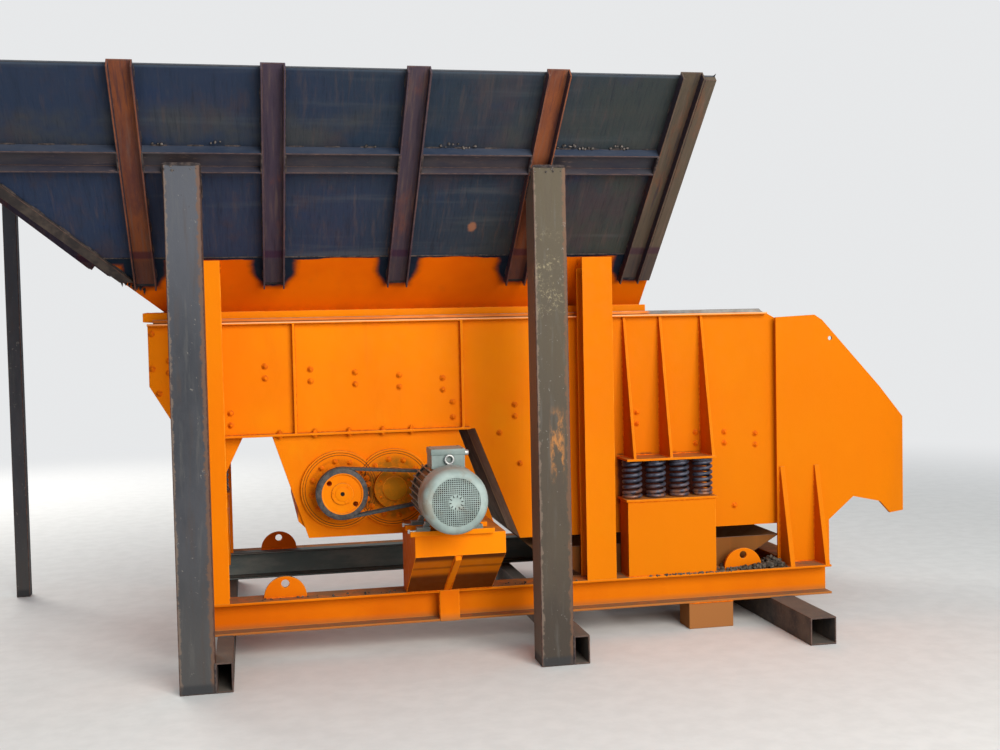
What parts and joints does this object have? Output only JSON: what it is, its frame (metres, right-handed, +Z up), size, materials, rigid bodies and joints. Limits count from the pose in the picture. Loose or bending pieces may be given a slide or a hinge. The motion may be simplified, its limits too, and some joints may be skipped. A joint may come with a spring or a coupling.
{
  "type": "vibrating_grizzly_feeder",
  "caption": "Vibrating grizzly feeder on coil springs with a belt-driven exciter, under a sloping steel receiving hopper on posts",
  "frame": {"origin": "middle of the plan, on the ground", "axes": "+X with the flow of stone, from the feed end to the discharge; +Y away from the motor side; +Z up"},
  "size_m": [5.3838, 3.2556, 2.7785],
  "materials": {
    "orange_paint": "satin enamel over plate steel",
    "old_orange_paint": "worn enamel with dust and rust",
    "raw_steel": "unpainted mill plate with light rust",
    "rusty_steel": "rusted rolled channel",
    "post_steel": "unpainted square tube with rust stains",
    "wear_steel": "worn bare steel",
    "spring_steel": "dark paint, dusty",
    "belt_rubber": "dusty rubber",
    "motor_paint": "grey-green hammered paint"
  },
  "bodies": {
    "base": {"base_beam_far": "orange_paint", "base_beam_near": "orange_paint", "base_cross_beams": "orange_paint", "discharge_cheek_far": "orange_paint", "discharge_cheek_near": "orange_paint", "drive_belt": "belt_rubber", "fines_chute": "old_orange_paint", "front_spring_seats": "orange_paint", "front_springs": "spring_steel", "hopper_columns": "orange_paint", "hopper_corner_bars": "raw_steel", "hopper_front_bars": "rusty_steel", "hopper_outlet_frame": "orange_paint", "hopper_posts": "post_steel", "hopper_wall_far": "raw_steel", "hopper_wall_front": "raw_steel", "hopper_wall_near": "raw_steel", "hopper_wall_rear": "raw_steel", "lifting_lugs": "orange_paint", "lower_hopper_ends": "orange_paint", "lower_hopper_sides": "orange_paint", "motor_base": "orange_paint", "motor_body": "motor_paint", "motor_fan_cover": "motor_paint", "motor_slide_rails": "orange_paint", "motor_terminal_box": "motor_paint", "rear_posts": "post_steel", "rear_spring_seats": "orange_paint", "rear_springs": "spring_steel", "skid_tubes": "raw_steel", "support_legs": "orange_paint", "wall_rails_far": "rusty_steel", "wall_rails_near": "rusty_steel", "wall_rails_rear": "rusty_steel", "wall_ribs_far": "rusty_steel", "wall_ribs_near": "rusty_steel", "wall_ribs_rear": "rusty_steel"},
    "trough": {"bearing_covers": "orange_paint", "discharge_apron": "orange_paint", "exciter_frames": "orange_paint", "exciter_housing": "orange_paint", "fines_back_plate": "wear_steel", "front_spring_brackets": "orange_paint", "grizzly_bars_lower": "wear_steel", "grizzly_bars_upper": "wear_steel", "grizzly_cross_beams": "orange_paint", "rear_spring_brackets": "orange_paint", "side_liners": "wear_steel", "trough_pan": "orange_paint", "trough_rear_wall": "orange_paint", "trough_side_far": "orange_paint", "trough_side_near": "orange_paint"},
    "drive_pulley": {"drive_pulley": "orange_paint"},
    "motor_pulley": {"motor_pulley": "motor_paint"}
  },
  "joints": [
    {"name": "trough_stroke", "type": "slide", "parent": "base", "child": "trough", "axis": [0, 0, 1], "range_m": [-0.01, 0.006], "stiffness_N_per_m": 1455000, "springref_m": 0.0276, "deforming": ["front_springs", "rear_springs", "drive_belt"]},
    {"name": "drive_pulley_spin", "type": "hinge", "parent": "trough", "child": "drive_pulley", "pos_m": [-0.53415, -0.738, 0.82], "axis": [0, 1, 0], "continuous": true},
    {"name": "motor_pulley_spin", "type": "hinge", "parent": "base", "child": "motor_pulley", "pos_m": [-0.05715, -0.738, 0.838], "axis": [0, 1, 0], "continuous": true}
  ],
  "couplings": [
    {"joint": "motor_pulley_spin", "follows": "drive_pulley_spin", "ratio": 1.8438}
  ]
}
